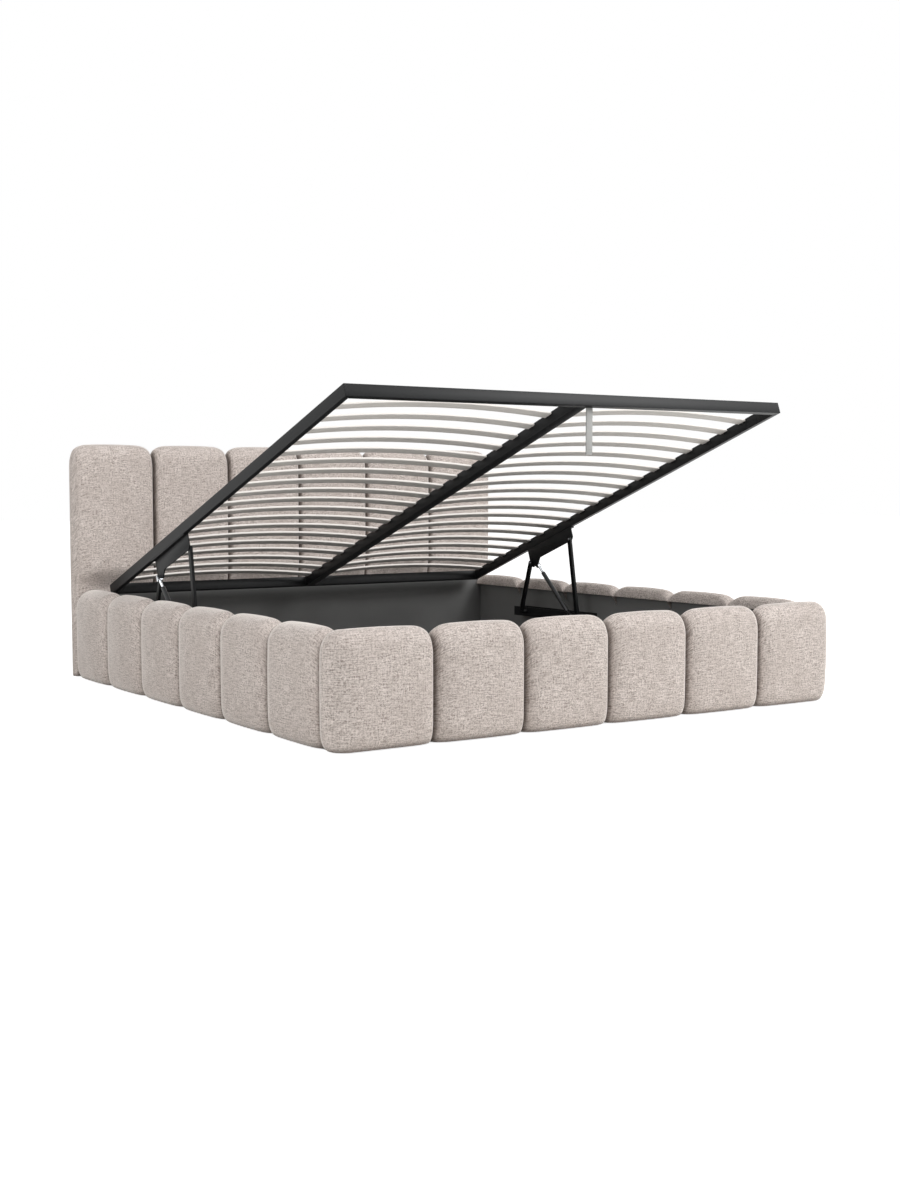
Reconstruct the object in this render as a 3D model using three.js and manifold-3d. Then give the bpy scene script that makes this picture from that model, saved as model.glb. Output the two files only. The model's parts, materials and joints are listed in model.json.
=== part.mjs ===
// Upholstered double bed with a channelled headboard, a padded box and a lift-up slatted frame.
// Millimetres. +X to the right seen from the foot end, +Y towards the headboard, +Z up.
// The origin is on the floor, at the centre of the bed's outline. The frame is shown raised.

import * as THREE from 'three';
import { mergeVertices } from 'three/addons/utils/BufferGeometryUtils.js';
import Module from 'manifold-3d';

const wasm = await Module();
wasm.setup();

// Mattress space and box
const mattressLength = 2000;
const mattressWidth = 1800;
const frameInset = 10;
const mechanismBay = 58;
const boardThickness = 16;
const boardTop = 310;
const headBoardTop = 332;
const seatGap = 0.3;
const glideHeight = 10;
const glideRadius = 22;
const glideSetback = 60;
const glideBackInset = 6;

// Pads of the box
const padsPerSide = 6;
const padsAcrossFoot = 6;
const padDepth = 34;
const padCrown = 22;
const padTop = 358;
const seamGap = 1;
const cornerReturn = 83;
const cornerRadius = 40;
const cornerRelief = 4;
const padEdgeRun = 58;
const padBottomRun = 34;
const padCornerDrop = 40;
const padBottomDrop = 18;
const padTopArc = 6;
const padBackRound = 12;

// Headboard
const padsAcrossHeadboard = 6;
const headboardTop = 933;
const headboardStep = 9;
const headPadDepth = 60;
const headPanelThickness = 40;
const headPanelInset = 14;
const headPanelCorner = 45;
const headPressedTop = 352;
const headPressedFade = 90;

// Floor of the storage space
const floorBeamWidth = 60;
const floorHeight = 18;
const floorThickness = 6;

// Lifting frame of steel tube with sprung slats
const railWidth = 20;
const railHeight = 40;
const railWall = 1.5;
const centreRailWidth = 40;
const footClearance = 8;
const headClearance = 2;
const slatsPerHalf = 20;
const slatWidth = 38;
const slatThickness = 8;
const slatRise = 31;
const slatBow = 24;
const slatEndSetback = 30;
const weld = 0.5;
const cleatDepth = 25;
const cleatHeight = 30;

// Lift motion: how far the frame turns, and how its head end shifts while it does
const liftAngle = THREE.MathUtils.degToRad(20.2);
const liftForward = 53;
const liftRise = 65;

// Lift mechanism, one on each side, set out from the frame's closed head end
const plateThickness = 4;
const laneGap = 0.5;
const baseBelowPivots = 18;
const baseAbovePivots = 10;
const baseFootOverhang = 30;
const baseHeadOverhang = 90;
const frontPivotBack = 818;
const frontPivotHeight = 222;
const rearPivotBack = 428;
const rearPivotHeight = 214;
const strutPivotBack = 747;
const strutPivotHeight = 218;
const linkWidth = 20;
const linkDepth = 10;
const linkWall = 2.5;
const frontLinkTop = 739;
const frontLinkDrop = 51;
const rearLinkTop = 448;
const rearLinkDrop = 62;
const strutTop = 470;
const strutDrop = 75;
const pinRadius = 5;
const pinClearance = 0.3;
const shoulderRadius = 8;
const pinHead = 2;
const rivetRadius = 6;
const strutDiameter = 18;
const strutWall = 2;
const strutRodRadius = 5;
const strutEyeRadius = 8;
const strutEyeThickness = 8;
const strutEyeNeck = 12;
const strutRodShown = 54;
const strutRodInside = 120;
const strutTravelRoom = 60;
const strutEndGap = 22;
const bracketDepth = 57;
const bracketTab = 83;
const bracketTabLength = 46;
const bracketFootReach = 16;
const bracketHeadReach = 9;
const bracketSlope = 26;
const bracketCorner = 12;

// Pull strap at the foot end
const strapWidth = 25;
const strapThickness = 2;
const strapLength = 150;
const strapSeat = 30;
const strapOffset = 34;

// Sizes worked out from those above
const frameWidth = mattressWidth - 2 * frameInset;
const frameLength = mattressLength - footClearance - headClearance;
const innerHalf = frameWidth / 2 + mechanismBay;
const boxHalf = innerHalf + boardThickness + seatGap + padDepth;
const padBase = glideHeight + seatGap;
const boxLength = mattressLength + 2 * (boardThickness + seatGap) + padDepth;
const overallLength = padCrown + boxLength + headPadDepth + seatGap + headPanelThickness;
const footSeam = padCrown - overallLength / 2;
const headSeam = footSeam + boxLength;
const headboardHalf = boxHalf + headboardStep;
const footInner = footSeam + padDepth + seatGap + boardThickness;
const headInner = headSeam - seatGap - boardThickness;
const frameHeadEnd = headInner - headClearance;
const frameFootEnd = footInner + footClearance;
const frameBottom = boardTop - railHeight;

// The frame turns about one line behind and above its head end. A chord of the head end's
// travel gives that line, because the head end swings on a circle round it.
const liftChord = Math.hypot(liftForward, liftRise);
const liftReach = liftChord / 2 / Math.tan(liftAngle / 2);
const liftCentreY = frameHeadEnd - liftForward / 2 + (liftReach * liftRise) / liftChord;
const liftCentreZ = frameBottom + liftRise / 2 + (liftReach * liftForward) / liftChord;

const fabric = new THREE.MeshStandardMaterial({ color: 0xc8bcb0, roughness: 0.95, metalness: 0 });
const liner = new THREE.MeshStandardMaterial({ color: 0x3c3d3f, roughness: 0.9, metalness: 0 });
const blackSteel = new THREE.MeshStandardMaterial({ color: 0x1d1e20, roughness: 0.45, metalness: 0.6 });
const slatRailFinish = new THREE.MeshStandardMaterial({ color: 0x2a2b2d, roughness: 0.5, metalness: 0.3 });
const gasBlack = new THREE.MeshStandardMaterial({ color: 0x161616, roughness: 0.3, metalness: 0.4 });
const brightSteel = new THREE.MeshStandardMaterial({ color: 0xc9ccd0, roughness: 0.25, metalness: 1 });
const webbing = new THREE.MeshStandardMaterial({ color: 0xb9babb, roughness: 0.85, metalness: 0 });
const blackPlastic = new THREE.MeshStandardMaterial({ color: 0x111111, roughness: 0.6, metalness: 0 });
const pine = new THREE.MeshStandardMaterial({ color: 0x6b5a47, roughness: 0.8, metalness: 0 });

const bed = new THREE.Group();

function addPiece(parent, name, geometry, material) {
  const mesh = new THREE.Mesh(geometry, material);
  mesh.name = name;
  parent.add(mesh);
  return mesh;
}

// Joining and cutting closed shapes
function solid(geometry) {
  const bare = geometry.clone();
  bare.deleteAttribute('normal');
  bare.deleteAttribute('uv');
  const merged = mergeVertices(bare);
  return new wasm.Manifold(new wasm.Mesh({
    numProp: 3,
    vertProperties: new Float32Array(merged.attributes.position.array),
    triVerts: new Uint32Array(merged.index.array),
  }));
}

function geometryOf(shape) {
  const mesh = shape.getMesh();
  const geometry = new THREE.BufferGeometry();
  geometry.setAttribute('position', new THREE.Float32BufferAttribute(mesh.vertProperties, 3));
  geometry.setIndex(Array.from(mesh.triVerts));
  geometry.computeVertexNormals();
  return geometry;
}

function join(...geometries) {
  return geometryOf(geometries.map(solid).reduce((whole, next) => whole.add(next)));
}

function cut(geometry, ...tools) {
  return geometryOf(tools.map(solid).reduce((whole, tool) => whole.subtract(tool), solid(geometry)));
}

// A box from its lowest and highest corners
function block(low, high) {
  const size = high.map((value, axis) => value - low[axis]);
  const geometry = new THREE.BoxGeometry(...size);
  geometry.translate(...low.map((value, axis) => value + size[axis] / 2));
  return geometry;
}

function outline(points) {
  return new THREE.Shape(points.map(([across, up]) => new THREE.Vector2(across, up)));
}

// Outlines drawn in Y and Z, stretched along X
function alongX(shape, from, to, curveSegments = 12) {
  const geometry = new THREE.ExtrudeGeometry(shape, { depth: to - from, bevelEnabled: false, curveSegments });
  const basis = new THREE.Matrix4().makeBasis(
    new THREE.Vector3(0, 1, 0),
    new THREE.Vector3(0, 0, 1),
    new THREE.Vector3(1, 0, 0),
  );
  geometry.applyMatrix4(basis);
  geometry.translate(from, 0, 0);
  return geometry;
}

// Outlines drawn in X and Z, stretched along Y
function alongY(shape, from, to, curveSegments = 12) {
  const geometry = new THREE.ExtrudeGeometry(shape, { depth: to - from, bevelEnabled: false, curveSegments });
  geometry.rotateX(Math.PI / 2);
  geometry.translate(0, to, 0);
  return geometry;
}

function disc(radius, from, to, y, z, sides = 16) {
  const geometry = new THREE.CylinderGeometry(radius, radius, to - from, sides);
  geometry.rotateZ(Math.PI / 2);
  geometry.translate((from + to) / 2, y, z);
  return geometry;
}

// Pads
// A pad is set out flat: u runs across it, z up it, and d out from its back. place() puts a
// point of that flat pad on the bed. Its edges stay at the seam's depth, and its face swells
// from them to the crown.
const quarterRound = (share) => Math.sqrt(1 - (1 - Math.min(share, 1)) ** 2);

const edgeShares = [0, 0.08, 0.32, 1];

function padGeometry({ width, height, depth, crown, place, bends = [], swell = () => 1, levels = [] }) {
  const fromLeft = edgeShares.map((share) => share * padEdgeRun);
  const fromRight = edgeShares.map((share) => width - share * padEdgeRun).reverse();
  const columns = [...fromLeft, width / 2, ...fromRight, ...bends].sort((a, b) => a - b);
  const fromBottom = edgeShares.map((share) => share * padBottomRun);
  const fromTop = edgeShares.map((share) => height - share * padEdgeRun).reverse();
  const rows = [...fromBottom, ...levels, (padBottomRun + height - padEdgeRun) / 2, ...fromTop]
    .sort((a, b) => a - b);

  const positions = [];
  const addPoint = (u, z, d) => positions.push(...place(u, z, d)) / 3 - 1;
  const flat = columns.map((u) => {
    const edge = quarterRound(Math.min(u, width - u) / padEdgeRun);
    const top = height - padCornerDrop * (1 - edge) - padTopArc * (2 * u / width - 1) ** 2;
    const bottom = padBottomDrop * (1 - edge);
    return rows.map((row) => {
      const z = bottom + (top - bottom) * row / height;
      const rise = quarterRound(row / padBottomRun) * quarterRound((height - row) / padEdgeRun);
      return [u, z, depth + crown * edge * rise * swell(z)];
    });
  });
  const face = flat.map((column) => column.map((point) => addPoint(...point)));

  const last = columns.length - 1;
  const top = rows.length - 1;
  const rim = [];
  for (let i = 0; i < last; i += 1) rim.push([i, 0]);
  for (let j = 0; j < top; j += 1) rim.push([last, j]);
  for (let i = last; i > 0; i -= 1) rim.push([i, top]);
  for (let j = top; j > 0; j -= 1) rim.push([0, j]);

  const inset = (value, size) => padBackRound + value * (size - 2 * padBackRound) / size;
  const sideRim = rim.map(([i, j]) => addPoint(flat[i][j][0], flat[i][j][1], padBackRound));
  const backRim = rim.map(([i, j]) => (
    addPoint(inset(flat[i][j][0], width), inset(flat[i][j][1], height), 0)
  ));

  const triangles = [];
  for (let i = 0; i < last; i += 1) {
    for (let j = 0; j < top; j += 1) {
      triangles.push([face[i][j], face[i + 1][j], face[i + 1][j + 1]]);
      triangles.push([face[i][j], face[i + 1][j + 1], face[i][j + 1]]);
    }
  }
  const faceRim = rim.map(([i, j]) => face[i][j]);
  for (const [front, back] of [[faceRim, sideRim], [sideRim, backRim]]) {
    front.forEach((point, k) => {
      const next = (k + 1) % front.length;
      triangles.push([point, back[k], back[next]]);
      triangles.push([point, back[next], front[next]]);
    });
  }

  // The back is flat, so it is filled with strips from the lower edge to the upper one
  const low = backRim.slice(0, last + 1);
  const high = backRim.slice(last + top, 2 * last + top + 1).reverse();
  const rightEdge = backRim.slice(last, last + top + 1);
  const leftEdge = [...backRim.slice(2 * last + top), backRim[0]].reverse();
  for (let i = 1; i < last - 1; i += 1) {
    triangles.push([low[i], high[i + 1], low[i + 1]]);
    triangles.push([low[i], high[i], high[i + 1]]);
  }
  for (let j = 0; j < top; j += 1) {
    triangles.push([low[1], leftEdge[j], leftEdge[j + 1]]);
    triangles.push([low[last - 1], rightEdge[j + 1], rightEdge[j]]);
  }
  triangles.push([low[1], leftEdge[top], high[1]]);
  triangles.push([low[last - 1], high[last - 1], rightEdge[top]]);

  const corner = (index) => new THREE.Vector3().fromArray(positions, 3 * index);
  const volume = triangles.reduce(
    (sum, [a, b, c]) => sum + corner(a).dot(corner(b).cross(corner(c))),
    0,
  );
  const outward = volume > 0 ? triangles : triangles.map(([a, b, c]) => [a, c, b]);
  const geometry = new THREE.BufferGeometry();
  geometry.setAttribute('position', new THREE.Float32BufferAttribute(positions, 3));
  geometry.setIndex(outward.flat());
  geometry.computeVertexNormals();
  return geometry;
}

const boxPadHeight = padTop - padBase;

function addFootPads() {
  const pitch = (2 * boxHalf) / padsAcrossFoot;
  const straightWidth = pitch - seamGap;
  const returnRun = cornerReturn - cornerRadius;
  const arcRun = (Math.PI / 2) * cornerRadius;
  const bentWidth = returnRun + arcRun + pitch - cornerRadius - seamGap / 2;
  const bendShares = [0, 0.25, 0.5, 0.75, 1];
  const bends = bendShares.map((share) => returnRun + share * arcRun + seamGap);

  // The outer pad turns the corner and ends on the bed's side
  const roundCorner = (side) => (u, z, d) => {
    const out = d - padDepth;
    if (u < returnRun) {
      return [side * (boxHalf + out), footSeam + cornerReturn - u, padBase + z];
    }
    if (u < returnRun + arcRun) {
      const turn = (u - returnRun) / cornerRadius;
      const reach = cornerRadius + out;
      return [
        side * (boxHalf - cornerRadius + reach * Math.cos(turn)),
        footSeam + cornerRadius - reach * Math.sin(turn),
        padBase + z,
      ];
    }
    return [side * (boxHalf - cornerRadius - (u - returnRun - arcRun)), footSeam - out, padBase + z];
  };

  for (let i = 0; i < padsAcrossFoot; i += 1) {
    const shared = { height: boxPadHeight, depth: padDepth, crown: padCrown };
    const outerSide = i === 0 ? -1 : i === padsAcrossFoot - 1 ? 1 : 0;
    const start = -boxHalf + i * pitch + seamGap / 2;
    const geometry = outerSide
      ? padGeometry({ ...shared, width: bentWidth, bends, place: roundCorner(outerSide) })
      : padGeometry({
        ...shared,
        width: straightWidth,
        place: (u, z, d) => [start + u, footSeam + padDepth - d, padBase + z],
      });
    addPiece(bed, `foot_pad_${i + 1}`, geometry, fabric);
  }
}

function addSidePads(side, word) {
  const start = footSeam + cornerReturn;
  const pitch = (headSeam - start) / padsPerSide;
  for (let i = 0; i < padsPerSide; i += 1) {
    const from = start + i * pitch + seamGap / 2;
    const geometry = padGeometry({
      width: pitch - seamGap,
      height: boxPadHeight,
      depth: padDepth,
      crown: padCrown,
      place: (u, z, d) => [side * (boxHalf - padDepth + d), from + u, padBase + z],
    });
    addPiece(bed, `side_pad_${word}_${i + 1}`, geometry, fabric);
  }
}

function addHeadboard() {
  const pitch = (2 * headboardHalf) / padsAcrossHeadboard;
  const pressed = headPressedTop - padBase;
  // Behind the box the pads are pressed flat, and they swell out again above it
  const swell = (z) => THREE.MathUtils.smoothstep(z, pressed, pressed + headPressedFade);
  const levels = [pressed, pressed + headPressedFade / 2, pressed + headPressedFade];
  for (let i = 0; i < padsAcrossHeadboard; i += 1) {
    const from = -headboardHalf + i * pitch + seamGap / 2;
    const geometry = padGeometry({
      width: pitch - seamGap,
      height: headboardTop - padBase,
      depth: headPadDepth,
      crown: padCrown,
      swell,
      levels,
      place: (u, z, d) => [from + u, headSeam + headPadDepth - d, padBase + z],
    });
    addPiece(bed, `headboard_pad_${i + 1}`, geometry, fabric);
  }

  const half = headboardHalf - headPanelInset;
  const top = headboardTop - padCornerDrop;
  const panel = new THREE.Shape();
  panel.moveTo(-half, padBase);
  panel.lineTo(half, padBase);
  panel.lineTo(half, top - headPanelCorner);
  panel.absarc(half - headPanelCorner, top - headPanelCorner, headPanelCorner, 0, Math.PI / 2, false);
  panel.lineTo(headPanelCorner - half, top);
  panel.absarc(headPanelCorner - half, top - headPanelCorner, headPanelCorner, Math.PI / 2, Math.PI, false);
  const front = headSeam + headPadDepth + seatGap;
  addPiece(bed, 'headboard_panel', alongY(panel, front, front + headPanelThickness, 5), fabric);
}

// Boards, floor and glides
function addBox() {
  for (const [side, word] of [[-1, 'left'], [1, 'right']]) {
    const [near, far] = [side * innerHalf, side * (innerHalf + boardThickness)].sort((a, b) => a - b);
    addPiece(bed, `side_board_${word}`, block(
      [near, footSeam + cornerRadius + cornerRelief, padBase],
      [far, headSeam - seatGap, boardTop],
    ), liner);
  }
  const end = innerHalf - seatGap;
  addPiece(bed, 'foot_board', block(
    [-end, footInner - boardThickness, padBase],
    [end, footInner, boardTop],
  ), liner);
  addPiece(bed, 'head_board', block(
    [-end, headInner, padBase],
    [end, headInner + boardThickness, headBoardTop],
  ), liner);

  addPiece(bed, 'floor_beam', block(
    [-floorBeamWidth / 2, footInner + seatGap, 0],
    [floorBeamWidth / 2, headInner - seatGap, floorHeight - seatGap],
  ), pine);
  for (const [side, word] of [[-1, 'left'], [1, 'right']]) {
    const [near, far] = [side * seatGap / 2, side * (innerHalf - seatGap)].sort((a, b) => a - b);
    addPiece(bed, `floor_panel_${word}`, block(
      [near, footInner + seatGap, floorHeight],
      [far, headInner - seatGap, floorHeight + floorThickness],
    ), liner);
  }

  // The batten that the closed frame's foot rail comes down on
  const cleatEnd = frameWidth / 2;
  const cleatTop = frameBottom - seatGap;
  addPiece(bed, 'foot_cleat', block(
    [-cleatEnd, footInner + seatGap, cleatTop - cleatHeight],
    [cleatEnd, footInner + seatGap + cleatDepth, cleatTop],
  ), pine);

  const boardLine = innerHalf + boardThickness / 2;
  const glideRows = [
    ['foot', boardLine, footInner + glideSetback],
    ['middle', boardLine, (footInner + headInner) / 2],
    ['head', boardLine, headInner - glideSetback],
    ['headboard', boardLine, overallLength / 2 - glideBackInset - glideRadius],
  ];
  for (const [place, across, y] of glideRows) {
    for (const [side, word] of [[-1, 'left'], [1, 'right']]) {
      const geometry = new THREE.CylinderGeometry(glideRadius, glideRadius, glideHeight, 20);
      geometry.rotateX(Math.PI / 2);
      geometry.translate(side * across, y, glideHeight / 2);
      addPiece(bed, `glide_${place}_${word}`, geometry, blackPlastic);
    }
  }
}

// Lifting frame
// It is set out closed, and then turned about the line that it swings on.
const liftedFrame = new THREE.Group();
liftedFrame.position.set(0, liftCentreY, liftCentreZ);
liftedFrame.rotation.x = -liftAngle;
bed.add(liftedFrame);

function onFrame(geometry) {
  geometry.translate(0, -liftCentreY, -liftCentreZ);
  return geometry;
}

// A square-cornered tube along X, open at both ends
function railTube(length, width) {
  const section = outline([
    [-width / 2, 0],
    [width / 2, 0],
    [width / 2, railHeight],
    [-width / 2, railHeight],
  ]);
  section.holes.push(outline([
    [-width / 2 + railWall, railWall],
    [-width / 2 + railWall, railHeight - railWall],
    [width / 2 - railWall, railHeight - railWall],
    [width / 2 - railWall, railWall],
  ]));
  return alongX(section, -length / 2, length / 2);
}

// Slopes both ends of a tube back by 45 degrees, longest on its outer side, where Y is lowest
function mitreEnds(geometry, width) {
  const position = geometry.attributes.position;
  for (let i = 0; i < position.count; i += 1) {
    const setBack = position.getY(i) + width / 2 + seatGap / 2;
    position.setX(i, position.getX(i) - Math.sign(position.getX(i)) * setBack);
  }
  return geometry;
}

// One slat seen from the foot end: level at its ends, and bowed up between them
function slatStrip(from, to, base, segments = 6) {
  const rise = (share) => base + slatBow * (1 - (2 * share - 1) ** 2);
  const shares = Array.from({ length: segments + 1 }, (unused, i) => i / segments);
  const across = (share) => from + (to - from) * share;
  const under = shares.map((share) => [across(share), rise(share)]);
  const over = shares.map((share) => [across(share), rise(share) + slatThickness]).reverse();
  return outline([...under, ...over]);
}

function addLiftFrame() {
  const tubes = [
    ['foot_rail', frameWidth, 0, 0, frameFootEnd + railWidth / 2],
    ['head_rail', frameWidth, Math.PI, 0, frameHeadEnd - railWidth / 2],
  ];
  for (const [name, length, turn, x, y] of tubes) {
    const geometry = mitreEnds(railTube(length, railWidth), railWidth);
    geometry.rotateZ(turn);
    geometry.translate(x, y, frameBottom);
    addPiece(liftedFrame, name, onFrame(geometry), blackSteel);
  }

  const centreLength = frameLength - 2 * (railWidth + seatGap);
  const centre = railTube(centreLength, centreRailWidth);
  centre.rotateZ(Math.PI / 2);
  centre.translate(0, (frameFootEnd + frameHeadEnd) / 2, frameBottom);
  addPiece(liftedFrame, 'centre_rail', onFrame(centre), blackSteel);

  // Each side rail carries its half's slats, which reach across to the centre rail
  const firstSlat = frameFootEnd + railWidth + slatEndSetback;
  const lastSlat = frameHeadEnd - railWidth - slatEndSetback - slatWidth;
  const pitch = (lastSlat - firstSlat) / (slatsPerHalf - 1);
  const railFace = frameWidth / 2 - railWidth;
  for (const [side, word] of [[-1, 'left'], [1, 'right']]) {
    const rail = mitreEnds(railTube(frameLength, railWidth), railWidth);
    rail.rotateZ(side * Math.PI / 2);
    rail.translate(side * (frameWidth / 2 - railWidth / 2), (frameFootEnd + frameHeadEnd) / 2, frameBottom);
    const ends = [side * (railFace + weld), side * (centreRailWidth / 2 + seatGap)].sort((a, b) => a - b);
    const strip = slatStrip(...ends, frameBottom + slatRise);
    const slats = Array.from({ length: slatsPerHalf }, (unused, i) => (
      alongY(strip, firstSlat + i * pitch, firstSlat + i * pitch + slatWidth)
    ));
    addPiece(liftedFrame, `side_rail_${word}`, onFrame(join(rail, ...slats)), slatRailFinish);
  }
}

// Lift mechanism
// Its plates, links and strut work in lanes side by side, counted in from the side board.
const bracketInner = mechanismBay + railWidth;
const bracketOuter = bracketInner - plateThickness;
const strutLane = [bracketOuter - laneGap - strutDiameter, bracketOuter - laneGap];
const strutMiddle = (strutLane[0] + strutLane[1]) / 2;
const lipInner = strutLane[0] - laneGap;
const lipOuter = lipInner - plateThickness;
const linkLane = [bracketInner + laneGap, bracketInner + laneGap + linkDepth];

const frontPivot = [frameHeadEnd - frontPivotBack, frontPivotHeight];
const rearPivot = [frameHeadEnd - rearPivotBack, rearPivotHeight];
const strutPivot = [frameHeadEnd - strutPivotBack, strutPivotHeight];
const baseWebHeight = Math.min(frontPivotHeight, rearPivotHeight, strutPivotHeight) - baseBelowPivots;
const baseLipTop = Math.max(frontPivotHeight, rearPivotHeight, strutPivotHeight) + baseAbovePivots;

// Where a point of the closed frame is once the frame is raised
function raised(back, drop) {
  const y = frameHeadEnd - back - liftCentreY;
  const z = frameBottom - drop - liftCentreZ;
  return [
    liftCentreY + y * Math.cos(liftAngle) + z * Math.sin(liftAngle),
    liftCentreZ - y * Math.sin(liftAngle) + z * Math.cos(liftAngle),
  ];
}

function reachBetween([fromY, fromZ], [toY, toZ]) {
  return {
    length: Math.hypot(toY - fromY, toZ - fromZ),
    angle: Math.atan2(toZ - fromZ, toY - fromY),
  };
}

// Distances in from the side board, turned into X on the left (-1) or right (1) side
function lane(side, from, to) {
  return [side * (innerHalf - from), side * (innerHalf - to)].sort((a, b) => a - b);
}

function stadium(length, radius) {
  const shape = new THREE.Shape();
  shape.absarc(0, 0, radius, Math.PI / 2, 1.5 * Math.PI, false);
  shape.absarc(length, 0, radius, -Math.PI / 2, Math.PI / 2, false);
  return shape;
}

// A pressed channel link: a dished bar with a pin hole at its foot and a rivet at its head
function linkGeometry(side, length) {
  const [from, to] = linkLane;
  const radius = linkWidth / 2;
  const bar = alongX(stadium(length, radius), ...lane(side, from, to), 8);
  const dish = alongX(stadium(length, radius - linkWall), ...lane(side, from + linkWall, to + linkWall), 8);
  const hole = disc(pinRadius + pinClearance, ...lane(side, from - linkWall, to), 0, 0);
  const rivet = disc(rivetRadius, ...lane(side, from, to - linkWall), length, 0);
  return join(cut(bar, dish, hole), rivet);
}

function addBasePlate(side, word) {
  const from = frontPivot[0] - baseFootOverhang;
  const to = rearPivot[0] + baseHeadOverhang;
  const x = (inward) => side * (innerHalf - inward);
  const section = outline([
    [x(seatGap), baseWebHeight - plateThickness],
    [x(lipInner), baseWebHeight - plateThickness],
    [x(lipInner), baseLipTop],
    [x(lipOuter), baseLipTop],
    [x(lipOuter), baseWebHeight],
    [x(seatGap + plateThickness), baseWebHeight],
    [x(seatGap + plateThickness), baseLipTop],
    [x(seatGap), baseLipTop],
  ]);
  const channel = alongY(section, from, to);
  const sleeve = (pivot, reach) => disc(shoulderRadius, ...lane(side, lipInner - weld, reach), ...pivot);
  const pin = (pivot, reach) => disc(pinRadius, ...lane(side, lipInner - weld, reach), ...pivot);
  const head = (pivot, reach) => disc(shoulderRadius, ...lane(side, reach, reach + pinHead), ...pivot);
  const eyeInner = strutMiddle + strutEyeThickness / 2;
  const eyeOuter = strutMiddle - strutEyeThickness / 2;
  addPiece(bed, `base_plate_${word}`, join(
    channel,
    sleeve(frontPivot, linkLane[0] - seatGap),
    pin(frontPivot, linkLane[1] + seatGap + weld),
    head(frontPivot, linkLane[1] + seatGap),
    sleeve(rearPivot, linkLane[0] - seatGap),
    pin(rearPivot, linkLane[1] + seatGap + weld),
    head(rearPivot, linkLane[1] + seatGap),
    sleeve(strutPivot, eyeOuter - seatGap),
    pin(strutPivot, eyeInner + seatGap + weld),
    head(strutPivot, eyeInner + seatGap),
  ), blackSteel);
}

function addUpperBracket(side, word) {
  const y = (back) => frameHeadEnd - back;
  const z = (drop) => frameBottom - seatGap - drop;
  const headEdge = rearLinkTop - bracketHeadReach;
  const footEdge = frontLinkTop + bracketFootReach;
  const plate = outline([
    [y(headEdge), z(0)],
    [y(footEdge), z(0)],
    [y(footEdge), z(bracketDepth - bracketCorner)],
    [y(footEdge - bracketCorner), z(bracketDepth)],
    [y(headEdge + bracketTabLength + bracketSlope), z(bracketDepth)],
    [y(headEdge + bracketTabLength), z(bracketTab)],
    [y(headEdge + bracketCorner), z(bracketTab)],
    [y(headEdge), z(bracketTab - bracketCorner)],
  ].reverse());
  const flange = block(
    [lane(side, mechanismBay, bracketInner)[0], y(footEdge), z(plateThickness)],
    [lane(side, mechanismBay, bracketInner)[1], y(headEdge), z(0)],
  );
  const stud = disc(
    pinRadius,
    ...lane(side, strutLane[1] + seatGap, bracketOuter + weld),
    y(strutTop),
    frameBottom - strutDrop,
  );
  const geometry = join(alongX(plate, ...lane(side, bracketOuter, bracketInner)), flange, stud);
  addPiece(liftedFrame, `upper_bracket_${word}`, onFrame(geometry), blackSteel);
}

function addLinks(side, word) {
  const links = [
    ['front_link', frontPivot, raised(frontLinkTop, frontLinkDrop)],
    ['rear_link', rearPivot, raised(rearLinkTop, rearLinkDrop)],
  ];
  for (const [name, pivot, end] of links) {
    const { length, angle } = reachBetween(pivot, end);
    const mesh = addPiece(bed, `${name}_${word}`, linkGeometry(side, length), blackSteel);
    mesh.position.set(0, ...pivot);
    mesh.rotation.x = angle;
  }
}

// A closed ring of revolution about Y, from its profile of radius and distance along
function turned(profile, x, sides = 16) {
  const points = profile.map(([radius, along]) => new THREE.Vector2(radius, along));
  const geometry = new THREE.LatheGeometry(points, sides);
  geometry.translate(x, 0, 0);
  return geometry;
}

function addStrut(side, word) {
  const { length, angle } = reachBetween(strutPivot, raised(strutTop, strutDrop));
  const x = side * (innerHalf - strutMiddle);
  const eye = (at, thickness) => alongX(
    stadium(strutEyeNeck, strutEyeRadius),
    x - thickness / 2,
    x + thickness / 2,
    6,
  ).translate(0, at, 0);
  const radius = strutDiameter / 2;
  const tubeEnd = length - strutRodShown;
  const rodEnd = tubeEnd - strutRodInside;
  const bore = strutRodRadius + pinClearance;
  const boreEnd = rodEnd - strutTravelRoom;

  // The cylinder turns on the base plate's pin, and the rod comes out of its upper end
  const neck = turned([
    [0, strutEyeNeck],
    [strutRodRadius, strutEyeNeck],
    [strutRodRadius, strutEndGap + weld],
    [0, strutEndGap + weld],
  ], x);
  const tube = turned([
    [0, strutEndGap],
    [radius - strutWall, strutEndGap],
    [radius, strutEndGap + strutWall],
    [radius, tubeEnd],
    [bore, tubeEnd],
    [bore, boreEnd],
    [0, boreEnd],
  ], x);
  const pinHole = disc(pinRadius + pinClearance, x - strutEyeThickness, x + strutEyeThickness, 0, 0);
  const body = cut(join(eye(0, strutEyeThickness), neck, tube), pinHole);
  const cylinder = addPiece(bed, `strut_cylinder_${word}`, body, gasBlack);

  const bar = turned([
    [0, rodEnd],
    [strutRodRadius, rodEnd],
    [strutRodRadius, length - strutEyeNeck],
    [0, length - strutEyeNeck],
  ], x);
  const upperEye = eye(length - strutEyeNeck, strutDiameter);
  const rod = addPiece(bed, `strut_rod_${word}`, join(bar, upperEye), brightSteel);
  for (const mesh of [rod, cylinder]) {
    mesh.position.set(0, ...strutPivot);
    mesh.rotation.x = angle;
  }
}

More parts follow.
